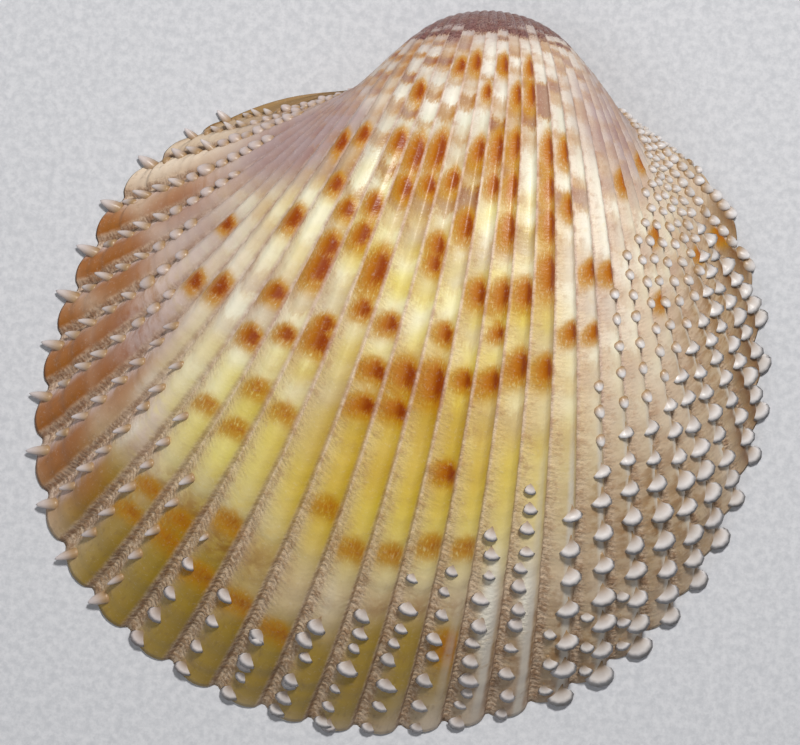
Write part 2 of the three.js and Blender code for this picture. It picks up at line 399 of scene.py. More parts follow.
def stud(frame_at, wide, thick, height, forward, sideways, blunt):
    """A standing scale: rings round an axis that leans to the rim, closing in a blunt end."""
    point, growth, back, out = frame_at
    axis = out + growth * forward + back * sideways
    axis /= np.linalg.norm(axis)
    across = back - axis * back.dot(axis)
    across /= np.linalg.norm(across)
    deep = np.cross(axis, across)
    around = np.linspace(0, 2 * np.pi, RING_SIDES, endpoint=False)
    rings = []
    for step in range(RING_STEPS):
        part = step / (RING_STEPS - 0.6)
        narrow = (1 - part**blunt) ** 0.6
        middle = point + axis * (height * part - 0.35 * height * (1 - part))
        middle = middle + growth * 0.3 * height * part**2
        ring = np.outer(np.cos(around) * wide * narrow, across)
        rings.append(middle + ring + np.outer(np.sin(around) * thick * narrow, deep))
    return np.concatenate(rings + [[point + axis * height + growth * 0.3 * height]])


def scoop(frame_at, wide, length, height, sideways):
    """A hooded scale: it rises from the rib towards the rim and ends in a curved lip."""
    point, growth, back, out = frame_at
    ahead = growth + back * sideways
    ahead /= np.linalg.norm(ahead)
    across = np.cross(ahead, out)
    across /= np.linalg.norm(across)
    around = np.linspace(0, 2 * np.pi, RING_SIDES, endpoint=False)
    arch = np.where(np.sin(around) > 0, np.sin(around), 0.15 * np.sin(around))
    rings = []
    for step in range(RING_STEPS):
        part = step / (RING_STEPS - 1)
        open_ = 0.2 + 0.8 * part**1.9
        lip = 0.16 * length * part**2 * (1 - np.cos(around) ** 2)
        lip = lip * (np.sin(around) > -0.1) - 0.3 * length * part * (np.sin(around) < -0.1)
        middle = point + ahead * length * (part - 0.45) - out * 0.06
        ring = np.outer(np.cos(around) * wide * open_, across)
        ring = ring + np.outer(arch * height * (0.15 + 0.85 * part) * open_, out)
        rings.append(middle + ring + np.outer(lip, ahead))
    return np.concatenate(rings + [[point + ahead * 0.3 * length + out * 0.1 * height]])


print("one scale has", RING_SIDES * RING_STEPS + 1, "points")


# %% Rows of scales on every rib
LAST_FRONT_RIB, LAST_MIDDLE_RIB, FIRST_BACK_RIB = 14, 21, 19
FRONT_PLACE, SECOND_PLACE, BACK_PLACE = 0.33, 0.68, 0.7
SPACING = 3.2
HOODS_UNTIL = 26


def front_scales(rib):
    """Beads that turn into wide hoods near the rim, with a second row on a few ribs."""
    turn, reach = 1.0, 50 - 1.2 * max(rib - 8, 0) - 11 * max(rib - 12, 0)
    while turn < reach:
        size = math.exp(-0.48 * math.radians(turn)) * (0.6 if rib < 2 else 1)
        kind = "hood" if rib >= 4 and turn < HOODS_UNTIL else "bead"
        wider = 1.15 if rib > 8 and turn < 18 else 1
        wider *= 1.1 if rib > 11 and turn < 4 else 1
        yield rib + FRONT_PLACE, turn, size * wider, kind
        if rib >= 12 and turn < 10:
            yield rib + SECOND_PLACE, turn + 0.9, size * 0.72, kind
        turn += SPACING * rng.uniform(0.9, 1.1)


def middle_scales(rib):
    """Low hoods of uneven size on the back edge of the smooth ribs."""
    turn = 0.9
    while turn < 25 - 2.6 * abs(rib - 15):
        size = math.exp(-0.5 * math.radians(turn)) * rng.uniform(0.7, 1.15)
        yield rib + rng.uniform(0.56, 0.7), turn, size, "flat_hood"
        turn += rng.uniform(1.5, 2.9)


def hinge_beads():
    """Beads behind the last rib, up towards the beak."""
    for turn in np.arange(22.0, 78.0, 4.6):
        ribs = 36.3 if turn < 30 else 36.8
        yield ribs, turn + rng.uniform(-1, 1), 0.7 * math.exp(-0.006 * turn), "bead"


def back_scales(rib):
    """Pegs that lean towards the rim, large at the rim and bead-like far from it."""
    turn, reach = 1.0, min(7 + 3 * (rib - 20), 26) + 5 * max(rib - 30, 0)
    while turn < reach:
        size = math.exp(-0.45 * math.radians(turn)) * (0.75 if rib > 33 else 1)
        size *= 0.75 if rib < 24 else 1
        size *= 1.35 if rib > 23 and turn < 2 else 1.12
        kind = "hood" if rib < 24 and turn < 12 else "peg"
        if rib > 27 and turn > 16:
            kind, size = "bead", size * rng.uniform(0.8, 1.2)
        yield rib + BACK_PLACE, turn, size, kind
        turn += SPACING * rng.uniform(0.85, 1.15)


def scale_row(rib):
    """Places and sizes of one rib's scales, from the rim upwards."""
    made = []
    if rib <= LAST_FRONT_RIB:
        made += front_scales(rib)
    elif rib <= LAST_MIDDLE_RIB:
        made += middle_scales(rib)
    if rib == RIBS - 1:
        made += hinge_beads()
    if rib >= FIRST_BACK_RIB:
        made += back_scales(rib)
    return made


KINDS = {
    "bead": (stud, dict(wide=0.6, thick=0.52, height=0.7, forward=0.6, sideways=-0.1, blunt=2.2)),
    "peg": (stud, dict(wide=0.4, thick=0.4, height=0.9, forward=0.8, sideways=0.5, blunt=1.6)),
    "hood": (scoop, dict(wide=0.98, length=1.45, height=0.75, sideways=-0.1)),
    "flat_hood": (scoop, dict(wide=0.85, length=1.5, height=0.5, sideways=0.15)),
}
all_scales = [item for rib in range(RIBS) for item in scale_row(rib)]
print(len(all_scales), "scales")

# %% Build the scales as one mesh
ring = np.arange(RING_SIDES)
template = []
for step in range(RING_STEPS - 1):
    a, b = step * RING_SIDES + ring, (step + 1) * RING_SIDES + ring
    template += np.stack([a, np.roll(a, -1), np.roll(b, -1), b], -1).tolist()
top = (RING_STEPS - 1) * RING_SIDES + ring
tip_id = RING_STEPS * RING_SIDES
template += [[int(a), int(b), tip_id] for a, b in zip(top, np.roll(top, -1))]
template.append([int(i) for i in ring[::-1]])

scale_points, scale_faces, scale_tips = [], [], []
rise = np.concatenate([np.repeat(np.linspace(0, 0.9, RING_STEPS), RING_SIDES), [1.0]])
for ribs, turn, size, kind in all_scales:
    build, form = KINDS[kind]
    form = dict(form)
    for name in ("wide", "thick", "height", "length"):
        if name in form:
            form[name] *= size * rng.uniform(0.88, 1.14)
    form["sideways"] += rng.uniform(-0.15, 0.15)
    first = len(scale_points) * (tip_id + 1)
    scale_points.append(build(scale_frame(ribs, turn), **form))
    scale_faces += [[first + i for i in face] for face in template]
    scale_tips.append(rise)
scale_points = np.clip(np.concatenate(scale_points), low + [0, 0, REST_GAP], high)
scale_mesh = bpy.data.meshes.new("scales")
scale_mesh.from_pydata((scale_points / MM).tolist(), [], scale_faces)
scale_mesh.shade_smooth()
tips = scale_mesh.attributes.new("tip", "FLOAT", "POINT")
tips.data.foreach_set("value", np.concatenate(scale_tips).astype(np.float32))
stain = 0.7 * soft_step(BEAK[0] - scale_points[:, 0], 8, 26)
greyer = [
    0.25 * (kind == "flat_hood") + (ribs > 27 and turn > 16)
    for ribs, turn, _, kind in all_scales
]
stain = np.maximum(stain, np.repeat(greyer, tip_id + 1))
stains = scale_mesh.attributes.new("stain", "FLOAT", "POINT")
stains.data.foreach_set("value", stain.astype(np.float32))
scales = bpy.data.objects.new("valve_scales", scale_mesh)
bpy.context.scene.collection.objects.link(scales)
print("scales mesh", len(scale_points), "points,", len(scale_faces), "faces")

# %% [markdown]
# ## Where the colours lie
#
# The colours follow two orders. Some follow growth: the cream and brown bands that run
# round the shell, and the dark beak. Others are patches that any collector would point to
# from above: the yellow middle, the mauve back slope, the tan front slope. Painting an
# image would be quick, but it would not survive a change of size. Here soft patches are
# worked out for each point of the mesh, in steps of 0.0825 mm on a view from straight
# above, and a material reads them as masks.

# %% Soft patches on a view from above
STEP = 0.0825
EYE = 264.0
PICTURE = (800, 745)
VIEW_TURN = math.radians(7.2)
VIEW_MIDDLE = BEAK[:2] + [-4.2155, -25.413]


def seen_from_above(points):
    delta = points[:, :2] - VIEW_MIDDLE
    right = delta[:, 0] * math.cos(VIEW_TURN) + delta[:, 1] * math.sin(VIEW_TURN)
    up = delta[:, 1] * math.cos(VIEW_TURN) - delta[:, 0] * math.sin(VIEW_TURN)
    nearer = EYE / (EYE - points[:, 2]) / STEP
    return PICTURE[0] / 2 + right * nearer, PICTURE[1] / 2 - up * nearer


def patch(seen, x, y, wide, tall, lean):
    cos, sin = math.cos(math.radians(lean)), math.sin(math.radians(lean))
    dx, dy = seen[0] - x, seen[1] - y
    u, v = (dx * cos + dy * sin) / wide, (dy * cos - dx * sin) / tall
    return np.exp(-(u * u + v * v))


def patches(seen, rows):
    total = np.zeros_like(seen[0])
    for x, y, wide, tall, lean, strength in rows:
        total = np.maximum(total, strength * patch(seen, x, y, wide, tall, lean))
    return total


skin_seen = seen_from_above(points)
print("view of the skin", skin_seen[0].min().round(), skin_seen[0].max().round())

# %% The patches themselves
PATCHES = {
    "yellow": [
        (430, 250, 170, 130, 0, 0.9), (400, 440, 190, 150, 0, 1.0),
        (250, 420, 110, 130, 20, 0.8), (500, 330, 80, 160, 0, 0.9),
    ],
    "gold": [
        (410, 460, 150, 90, 0, 1.0), (330, 500, 90, 90, 0, 0.8),
        (240, 560, 110, 100, 0, 0.6), (430, 400, 110, 70, 0, 0.8), (530, 400, 50, 80, 0, 0.5),
    ],
    "olive": [
        (150, 590, 110, 110, -30, 1.0), (100, 500, 60, 80, 0, 0.8),
        (250, 660, 150, 60, 10, 1.0), (400, 660, 120, 60, 0, 0.9), (330, 690, 120, 50, 0, 0.9),
    ],
    "rust": [
        (58, 390, 46, 130, 5, 1.0), (105, 250, 60, 70, -30, 0.95), (80, 470, 40, 60, 0, 0.65),
        (120, 340, 50, 100, 15, 0.85), (180, 200, 70, 30, -30, 0.7),
    ],
    "rose": [
        (165, 300, 34, 80, 25, 0.8), (200, 250, 60, 36, -30, 0.6), (150, 420, 26, 60, 10, 0.6),
        (230, 180, 50, 30, -30, 0.5),
    ],
    "mauve": [
        (200, 225, 80, 44, -30, 0.6), (300, 140, 100, 44, -28, 1.0),
        # The patch at (470, 34) near the beak is painted shade; the other mauve patches are the
        # shell's own colour.
        (340, 110, 60, 40, -35, 0.9), (608, 130, 38, 90, -25, 0.9), (470, 34, 100, 20, 0, 0.5),
        (150, 330, 70, 40, -30, 0.5), (520, 680, 90, 50, 0, 0.6), (500, 620, 60, 60, 0, 0.4),
    ],
    "tan": [
        (718, 320, 58, 170, 0, 0.85), (650, 520, 110, 120, 30, 0.8), (560, 650, 120, 80, -20, 0.8),
    ],
    "umber": [
        (752, 390, 24, 110, 0, 0.95), (730, 250, 20, 60, -15, 0.9), (240, 108, 90, 7, -26, 0.9),
        (700, 540, 20, 60, 30, 0.4),
    ],
    "pearl": [
        (487, 610, 10, 70, 8, 1.0), (525, 605, 9, 60, 5, 0.9), (455, 100, 120, 20, 0, 0.8),
        (330, 590, 12, 60, 14, 0.4), (596, 250, 50, 110, -6, 1.0),
        (650, 250, 30, 70, -10, 0.5), (480, 250, 70, 26, 0, 0.7),
        (400, 215, 40, 30, 0, 0.5), (450, 200, 50, 20, 0, 0.5), (500, 60, 110, 30, 0, 0.8),
        (600, 400, 30, 90, 0, 0.5), (245, 300, 80, 80, 20, 0.55), (200, 375, 60, 60, 0, 0.5),
        (330, 250, 50, 60, 20, 0.5),
        (130, 430, 12, 30, 40, 0.6), (150, 380, 12, 40, 45, 0.5),
    ],
}
masks = {name: patches(skin_seen, rows) for name, rows in PATCHES.items()}
print({name: float(mask.max().round(2)) for name, mask in masks.items()})

# %% The strong blotches, one rib wide each
SPOTS = [
    (428, 62, 8, 12), (455, 62, 8, 10), (480, 60, 8, 12), (505, 62, 8, 12), (530, 66, 8, 12),
    (425, 90, 8, 12), (450, 96, 7, 10), (535, 92, 8, 16), (512, 92, 7, 14), (490, 90, 6, 10),
    (345, 140, 9, 14), (372, 136, 8, 12), (395, 136, 9, 14), (415, 148, 10, 22),
    (437, 146, 9, 24), (470, 146, 8, 16), (497, 146, 9, 22), (520, 142, 8, 18),
    (543, 148, 8, 22), (560, 150, 7, 16), (335, 180, 8, 12), (372, 200, 8, 14),
    (352, 208, 8, 12), (400, 182, 8, 14), (430, 182, 8, 12), (455, 178, 8, 14),
    (493, 182, 8, 14), (517, 184, 8, 18), (545, 186, 8, 16), (290, 212, 9, 16),
    (232, 225, 8, 10), (318, 262, 11, 22), (325, 240, 9, 16), (371, 262, 10, 26),
    (372, 235, 8, 16), (428, 240, 8, 14), (463, 222, 9, 18), (515, 226, 9, 20),
    (545, 222, 8, 22), (560, 205, 6, 14), (277, 290, 9, 12), (440, 262, 7, 12),
    (466, 288, 9, 16), (491, 290, 10, 18), (521, 290, 10, 18), (546, 270, 10, 26),
    (583, 268, 9, 12), (355, 303, 7, 12), (230, 290, 8, 16), (205, 285, 7, 12),
    (318, 336, 11, 16), (318, 318, 8, 10), (386, 320, 8, 12), (440, 330, 7, 12),
    (492, 330, 7, 10), (246, 330, 8, 12), (283, 330, 7, 10), (375, 367, 11, 12),
    (403, 370, 12, 18), (434, 378, 13, 24), (465, 378, 8, 12), (489, 378, 11, 14),
    (517, 362, 11, 18), (545, 366, 8, 16), (360, 401, 11, 12), (395, 406, 12, 12),
    (447, 470, 10, 12), (262, 388, 8, 12), (237, 426, 9, 11), (285, 410, 9, 11),
    (208, 402, 8, 10), (466, 545, 10, 12), (425, 541, 9, 14), (355, 547, 10, 12),
    (381, 548, 9, 12), (330, 505, 9, 12), (205, 574, 14, 12), (240, 600, 14, 12),
    (275, 628, 13, 11), (175, 540, 10, 12), (120, 500, 9, 10), (150, 485, 10, 10),
    (187, 522, 9, 12), (232, 520, 9, 12), (432, 645, 9, 16), (455, 640, 8, 14),
    (650, 232, 8, 10), (620, 180, 8, 14), (612, 270, 9, 12), (655, 300, 8, 10),
    (590, 330, 8, 10), (700, 250, 8, 8), (565, 330, 8, 12),
    (640, 160, 7, 10), (710, 240, 8, 10),
]
BLOTCHES_END, OUT_OF_REACH = 115, 1000
BLOTCH_PLACE = 0.38
FAINT_BELOW, LEFT_SIDE, LEFT_FAINT_BELOW, FAINTNESS = 480, 300, 380, 0.66
PER_RIB = len(PLACES)
seen_x, seen_y = (axis[: outer_ids.size].reshape(outer_ids.shape) for axis in skin_seen)
blotch = np.zeros(outer_ids.shape)
for x, y, wide, tall in SPOTS:
    away = np.hypot(seen_x - x, seen_y - y) + OUT_OF_REACH * (grid_turn > BLOTCHES_END)
    row, column = np.unravel_index(away.argmin(), away.shape)
    first_column = PER_RIB * (column // PER_RIB)
    on_rib = slice(first_column, first_column + PER_RIB)
    down = np.array([seen_x[row - 2, column] - seen_x[row + 2, column],
                     seen_y[row - 2, column] - seen_y[row + 2, column]])
    down /= np.linalg.norm(down)
    along = (seen_x[:, on_rib] - x) * down[0] + (seen_y[:, on_rib] - y) * down[1]
    slant = rng.uniform(-6, 6) * (PLACES - RIDGE) + 9 * np.abs(PLACES - BLOTCH_PLACE)
    along = along - slant
    fade = np.exp(-np.abs(along / (tall * np.where(along > 0, 1.3, 0.85))) ** 2)
    fade *= np.exp(-((PLACES - BLOTCH_PLACE) / (0.065 * wide)) ** 2)
    weak = y > FAINT_BELOW or (x < LEFT_SIDE and y > LEFT_FAINT_BELOW)
    fade *= (grid_turn[:, on_rib] < BLOTCHES_END) * (FAINTNESS if weak else 1.0)
    blotch[:, on_rib] = np.maximum(blotch[:, on_rib], fade)
masks["blotch"] = np.zeros(len(points))
masks["blotch"][: outer_ids.size] = blotch.ravel()
print(len(SPOTS), "blotches")


# %% Store the masks on the mesh
def for_all_points(column_values, caps):
    rows = OUTER_ROWS + INNER_ROWS + RIM_ROWS - 1
    return np.concatenate([np.tile(column_values, rows), caps])


masks["ribs"] = for_all_points(column_ribs, [PAST_LAST_RIB, PAST_LAST_RIB])
masks["turn"] = np.concatenate([
    grid_turn.ravel(), inner_grid_turn.ravel(), np.zeros(rim.size // 3), [OUTER_END, INNER_END],
])
masks["ribbed"] = for_all_points(column_strength, [0.0, 0.0])
for name, values in masks.items():
    attribute = mesh.attributes.new(name, "FLOAT", "POINT")
    attribute.data.foreach_set("value", np.asarray(values, np.float32))
print("masks on the skin:", ", ".join(masks))

# %% [markdown]
# ## A class for shader maths
#
# A material is a network of nodes, and long networks are hard to read. A small class wraps
# a socket, so that a mask can be written as ordinary arithmetic. Every operator adds one
# node. Colours go through Mix nodes, since a Math node would turn them grey.


# %% The wire class
class Wire:
    """One output socket of a shader node, usable in arithmetic."""

    def __init__(self, tree, socket=None):
        self.tree = tree
        self.socket = socket

    def node(self, kind, settings=None, values=None, out=0):
        made = self.tree.nodes.new(kind)
        for name, value in (settings or {}).items():
            setattr(made, name, value)
        for name, value in (values or {}).items():
            self.join(made.inputs[name], value)
        return Wire(self.tree, made.outputs[out])

    def join(self, target, value):
        if isinstance(value, Wire):
            self.tree.links.new(value.socket, target)
        else:
            target.default_value = value

    def maths(self, operation, *values):
        return self.node("ShaderNodeMath", {"operation": operation}, dict(enumerate(values)))

    def __add__(self, other):
        return self.maths("ADD", self, other)

    __radd__ = __add__

    def __sub__(self, other):
        return self.maths("SUBTRACT", self, other)

    def __rsub__(self, other):
        return self.maths("SUBTRACT", other, self)

    def __mul__(self, other):
        return self.maths("MULTIPLY", self, other)

    __rmul__ = __mul__

    def fract(self):
        return self.maths("FRACT", self)

    def floor(self):
        return self.maths("FLOOR", self)

    def step(self, start, end):
        """0 below start and 1 above end, softly between them."""
        values = {"From Min": start, "From Max": end, "Value": self}
        return self.node("ShaderNodeMapRange", {"interpolation_type": "SMOOTHSTEP"}, values)

    def mix(self, first, second):
        """Blends two colours by this value."""
        values = {0: self, 6: first, 7: second}
        return self.node("ShaderNodeMix", {"data_type": "RGBA"}, values, 2)

    def over(self, below, red, green, blue):
        """Lays a screen colour over another by this value."""
        return self.mix(below, tint(red, green, blue))


def tint(red, green, blue):
    """A colour given as it looks on a screen, from 0 to 255."""
    def linear(c):
        c /= 255
        return c / 12.92 if c <= 0.04045 else ((c + 0.055) / 1.055) ** 2.4

    return (linear(red), linear(green), linear(blue), 1.0)


print("cream", [round(c, 3) for c in tint(240, 232, 210)])


# %% Start a material with the wires it needs
def begin(name):
    material = bpy.data.materials.new(name)
    material.use_nodes = True
    tree = material.node_tree
    shader = tree.nodes["Principled BSDF"]
    return material, shader, Wire(tree)


def mask_of(wire, name):
    """The value that a mask has at each point, which is the node's third output."""
    return wire.node("ShaderNodeAttribute", {"attribute_name": name}, out=2)


def place_on(wire):
    """The place on the object in metres, which is the node's fourth output."""
    return wire.node("ShaderNodeTexCoord", out=3)


def vector(wire, x, y):
    return wire.node("ShaderNodeCombineXYZ", {}, {0: x, 1: y})


def noise(wire, at, scale, detail=2.0, rough=0.5):
    values = {"Vector": at, "Scale": scale, "Detail": detail, "Roughness": rough}
    return wire.node("ShaderNodeTexNoise", {}, values)


def bump(wire, height, strength, distance):
    values = {"Strength": strength, "Distance": distance, "Height": height}
    return wire.node("ShaderNodeBump", {}, values)


print("material helpers ready")

# %% [markdown]
# ## The outer finish
#
# The outside is a thin glossy skin over chalky shell. The ridge of each rib is smooth and
# yellow, its front side is deeper in colour and also darkened as painted shade, and its back
# side is pale and grainy down to the groove. A thin strip of painted shade runs in the groove
# along the front edge of each rib. Blotches of golden brown cross one rib at a time. The
# finish mixes these in that order, from the widest patch to the finest grain, as the animal
# laid them down, with painted shade and painted glints among them.

# %% Coordinates along and across the ribs
finish, shader, w = begin("outer_finish")
m = {name: mask_of(w, name) for name in masks}
place = m["ribs"].fract()
spot = place_on(w)
flow = vector(w, m["ribs"], m["turn"] * 0.35)
across_flow = vector(w, m["ribs"] * 6.0, m["turn"] * 0.6)
fine_grain = noise(w, spot, 3200.0, 3.0, 0.7)
grain = noise(w, spot, 1300.0, 4.0, 0.6)
cloud = noise(w, flow, 2.2, 3.0, 0.6)
streak = noise(w, across_flow, 1.4, 3.0, 0.6)
wide_flow = vector(w, m["ribs"] * 0.45, m["turn"] * 0.2)
haze = noise(w, wide_flow, 1.0, 1.5, 0.4)
print("coordinates ready")

# %% Masks across a rib
near_rim = 1 - m["turn"].step(TOOTH_UNTIL, ROOF_FROM)
front_side = 1 - place.step(0.04, 0.4)
back_side = place.step(0.46, 0.84)
groove = (1 - place.step(0.0, 0.1)) + place.step(0.88, 0.98)
sunken = (1 - place.step(0.06, 0.17)) + place.step(0.72, 0.86)
sunken = sunken * near_rim * m["ribbed"]
# A thin strip in the groove along the front edge of each rib, which takes painted shade.
line = place.step(0.0, 0.02) * (1 - place.step(0.05, 0.12)) * m["ribbed"]
print("rib masks ready")

# %% Ground colours
ground = m["yellow"].step(0.05, 0.85).mix(tint(232, 214, 192), tint(242, 226, 124))
hazy = haze.step(0.3, 0.7) * m["turn"].step(20.0, 34.0)
ground = (hazy * 0.8).over(ground, 250, 246, 218)
ground = (m["gold"].step(0.1, 0.9) * (0.5 + 0.5 * haze)).over(ground, 220, 180, 50)
ground = (m["olive"].step(0.1, 0.8) * 0.92).over(ground, 170, 138, 28)
late = m["olive"].step(0.05, 0.5)
cloudy = cloud.step(0.3, 0.6)
cream_zone = m["turn"].step(15.5, 18.0) * (1 - m["turn"].step(23.0, 30.0)) * late
ground = (cream_zone * cloudy * 0.75).over(ground, 226, 216, 172)
pause = m["turn"].step(12.0, 14.0) * (1 - m["turn"].step(15.5, 17.5)) * late
ground = (pause * cloudy * 0.6).over(ground, 140, 84, 30)
ground = (m["turn"].step(50.0, 70.0) * 0.85).over(ground, 226, 225, 206)
# Painted shade: from turn 70 towards the beak the ground is greyed.
ground = (m["turn"].step(70.0, 96.0) * 0.85).over(ground, 192, 174, 168)
ground = m["rust"].step(0.1, 0.8).over(ground, 166, 108, 62)
ground = (m["rose"].step(0.1, 0.8) * cloudy * 0.9).over(ground, 226, 206, 196)
ground = m["mauve"].step(0.1, 0.9).over(ground, 178, 154, 152)
mottled = cloud.step(0.4, 0.6).mix(tint(196, 172, 140), tint(152, 114, 70))
ground = m["tan"].step(0.1, 0.9).mix(ground, mottled)
pearly = m["pearl"].step(0.2, 0.9) * cloud.step(0.1, 0.52)
ground = (pearly * 0.95).over(ground, 246, 240, 224)
ground = (m["umber"].step(0.2, 0.7) * 0.9).over(ground, 112, 70, 26)
ground = ((1 - m["ribbed"]) * 0.85).over(ground, 140, 104, 40)
print("ground colours ready")

# %% Sides of the ribs
# The front side of each rib gets a richer, darker copy of the ground: partly its own deeper
# colour, partly painted shade on the steeper front slope.
stronger = {"Saturation": 1.12, "Value": 0.79, "Color": ground}
rich_and_shaded = w.node("ShaderNodeHueSaturation", {}, stronger)
front_rich_and_shaded = (front_side * m["ribbed"] * 0.85).mix(ground, rich_and_shaded)
pale = m["yellow"].step(0.2, 0.9).mix(tint(226, 200, 180), tint(234, 210, 148))
pale = (near_rim * 0.8).over(pale, 192, 166, 122)
pale = (m["turn"].step(50.0, 70.0) * 0.7).over(pale, 224, 214, 204)
pinkish = m["rust"].step(0.1, 0.5) * cloud.step(0.3, 0.55)
pale = pinkish.over(pale, 222, 200, 194)
paler = (back_side * m["ribbed"] * (0.55 + 0.4 * pinkish)).mix(front_rich_and_shaded, pale)
speckle = (0.3 + back_side) * grain.step(0.5, 0.66) * 0.28
skin_colour = speckle.over(paler, 176, 132, 96)
print("rib sides ready")

# %% Blotches
slope = w.maths("ABSOLUTE", place - BLOTCH_PLACE) * 1.6
ahead = m["turn"] - slope + (streak - 0.5) * 3.5
band = noise(w, vector(w, ahead * 0.2, m["ribs"].floor() * 3.7), 1.0, 0.5)
upper = m["turn"].step(22.0, 34.0) * 0.3 + m["turn"].step(48.0, 62.0) * 0.7
wisps = noise(w, across_flow, 2.4, 3.0, 0.65)
ragged = m["blotch"] + (wisps - 0.5) * 0.45 + (fine_grain - 0.5) * 0.1
gilded = m["blotch"].step(0.03, 0.45) * wisps.step(0.2, 0.5)
blotched = ragged.step(0.3, 0.85)
faint = band.step(0.4, 0.6) * (0.1 + 0.9 * upper) * (1 - m["mauve"] * 0.75)
faint = faint * (0.8 + 0.2 * front_side) * wisps.step(0.1, 0.45)
keep = 1 - sunken * 0.65
faint_colour = band.step(0.54, 0.68).mix(tint(176, 118, 4), tint(140, 66, 0))
skin_colour = (faint * keep).mix(skin_colour, faint_colour)
skin_colour = (gilded * keep * 0.8).over(skin_colour, 190, 134, 8)
core = (1 - place.step(0.22, 0.62)) * ragged.step(0.45, 0.95)
blotch_colour = core.mix(tint(184, 108, 6), tint(140, 50, 0))
blotch_colour = (back_side * 0.6).over(blotch_colour, 188, 130, 56)
skin_colour = (blotched * keep * 0.95).mix(skin_colour, blotch_colour)
print("blotches ready")

# %% Grooves, sunken spaces and the beak
groove_colour = grain.step(0.4, 0.6).mix(tint(228, 204, 190), tint(194, 158, 142))
skin_colour = (groove * m["ribbed"] * (1 - near_rim) * 0.6).mix(skin_colour, groove_colour)
rough = fine_grain * 0.6 + grain * 0.4
space_colour = rough.step(0.42, 0.58).mix(tint(220, 196, 170), tint(160, 126, 98))
skin_colour = (sunken * 0.8).mix(skin_colour, space_colour)
# Painted shade: the groove along each rib's front edge is darkened brown, more near the rim where
# the grooves are deep.
skin_colour = (line * (0.12 + 0.3 * near_rim)).over(skin_colour, 104, 66, 44)
# Brown streaks that darken the shell towards the rim.
darker_near_rim = streak.step(0.5, 0.75) * (1 - m["turn"].step(2.0, 20.0)) * 0.35
skin_colour = darker_near_rim.over(skin_colour, 122, 92, 66)
beak = (m["turn"] + (band - 0.5) * 26.0 + (streak - 0.5) * 10.0).step(99.0, 106.0)
beak = beak * (0.65 + 0.35 * streak.step(0.4, 0.6))
beak_colour = cloud.step(0.4, 0.6).mix(tint(92, 44, 44), tint(120, 74, 70))
skin_colour = beak.mix(skin_colour, beak_colour)
# Tiny near-white flecks: partly white grains of the shell, partly painted glints on the glossy
# skin.
skin_colour = (fine_grain.step(0.55, 0.75) * 0.12).over(skin_colour, 250, 244, 236)
strand = place.step(0.16, 0.28) * (1 - place.step(0.38, 0.5)) * m["tan"].step(0.15, 0.5)
skin_colour = (strand * cloud.step(0.25, 0.45) * 0.75).over(skin_colour, 222, 214, 200)
print("grooves ready")

# %% Gloss and fine relief
chalky = back_side * 0.5 + sunken * 0.5 + groove * 0.3
roughness = 0.25 + chalky * 0.35 + grain * 0.12
waves = m["turn"] * 12.0 + cloud * 9.0 + streak * 4.0
fine_lines = w.node("ShaderNodeMath", {"operation": "SINE"}, {0: waves})
wrinkles = fine_lines * (0.03 + 0.035 * (1 - m["turn"].step(8.0, 26.0)) * (0.3 + sunken))
relief = grain * 0.8 + fine_grain * 0.6 + wrinkles
chalk_streak = m["pearl"].step(0.3, 0.8) * (1 - m["turn"].step(8.0, 22.0))
relief = relief * (0.25 + chalky * 1.4 + chalk_streak * 1.2)
w.join(shader.inputs["Base Color"], skin_colour)
w.join(shader.inputs["Roughness"], roughness)
w.join(shader.inputs["Normal"], bump(w, relief, 0.55, 0.00022))
shader.inputs["IOR"].default_value = 1.48
shader.inputs["Specular IOR Level"].default_value = 0.24
mesh.materials.append(finish)
print("outer finish has", len(finish.node_tree.nodes), "nodes")

# %% [markdown]
# ## The inner finish
#
# Inside, the shell is smooth and glossy like china, white with a touch of yellow. Two dull
# scars show where the closing muscles held on, and a faint line joins them. Polished and
# dull areas are told apart by roughness as much as by colour.

# %% Porcelain inside with muscle scars
SCARS = [(-15.5, 8.5, 3.8, 5.0), (17.5, 7.5, 3.4, 4.6)]
inner_finish, shader, w = begin("inner_finish")
spot = place_on(w)
side = w.node("ShaderNodeSeparateXYZ", {}, {"Vector": spot}) * MM
towards_beak = w.node("ShaderNodeSeparateXYZ", {}, {"Vector": spot}, 1) * MM
scar = 0.0
for x, y, wide, tall in SCARS:
    dx, dy = (side - x) * (1 / wide), (towards_beak - y) * (1 / tall)
    scar = scar + (1 - (dx * dx + dy * dy).step(0.7, 1.1))
turn = mask_of(w, "turn")
cloud = noise(w, spot, 160.0, 3.0)
grain = noise(w, spot, 1500.0, 3.0)
mantle_line = turn.step(9.0, 10.0) * (1 - turn.step(11.0, 12.0))
china = cloud.step(0.35, 0.7).mix(tint(240, 236, 226), tint(236, 226, 198))
china = (1 - turn.step(2.0, 12.0)).over(china, 232, 214, 184)
china = ((scar + mantle_line * 0.6) * 0.5).over(china, 206, 194, 176)
china = (grain.step(0.6, 0.75) * 0.12).over(china, 190, 170, 140)
w.join(shader.inputs["Base Color"], china)
w.join(shader.inputs["Roughness"], 0.2 + scar * 0.25 + grain * 0.08)
height = grain * 0.2 + scar * -0.6 + mantle_line * -0.4
w.join(shader.inputs["Normal"], bump(w, height, 0.4, 0.0002))
mesh.materials.append(inner_finish)
OUTSIDE, INSIDE = 0, 1
finish_of_block = [OUTSIDE, INSIDE, INSIDE, OUTSIDE, INSIDE]
finish_of_face = np.repeat(finish_of_block, [len(block) for block in blocks])
mesh.polygons.foreach_set("material_index", finish_of_face.astype(np.int32))
print("inner finish has", len(inner_finish.node_tree.nodes), "nodes")

# %% [markdown]
# ## The scales' finish
#
# The scales are worn smooth and nearly white, with a bluish tinge at the tip, and they take
# some of the rib's colour where they stand on it. A mask that rises from foot to tip does it.

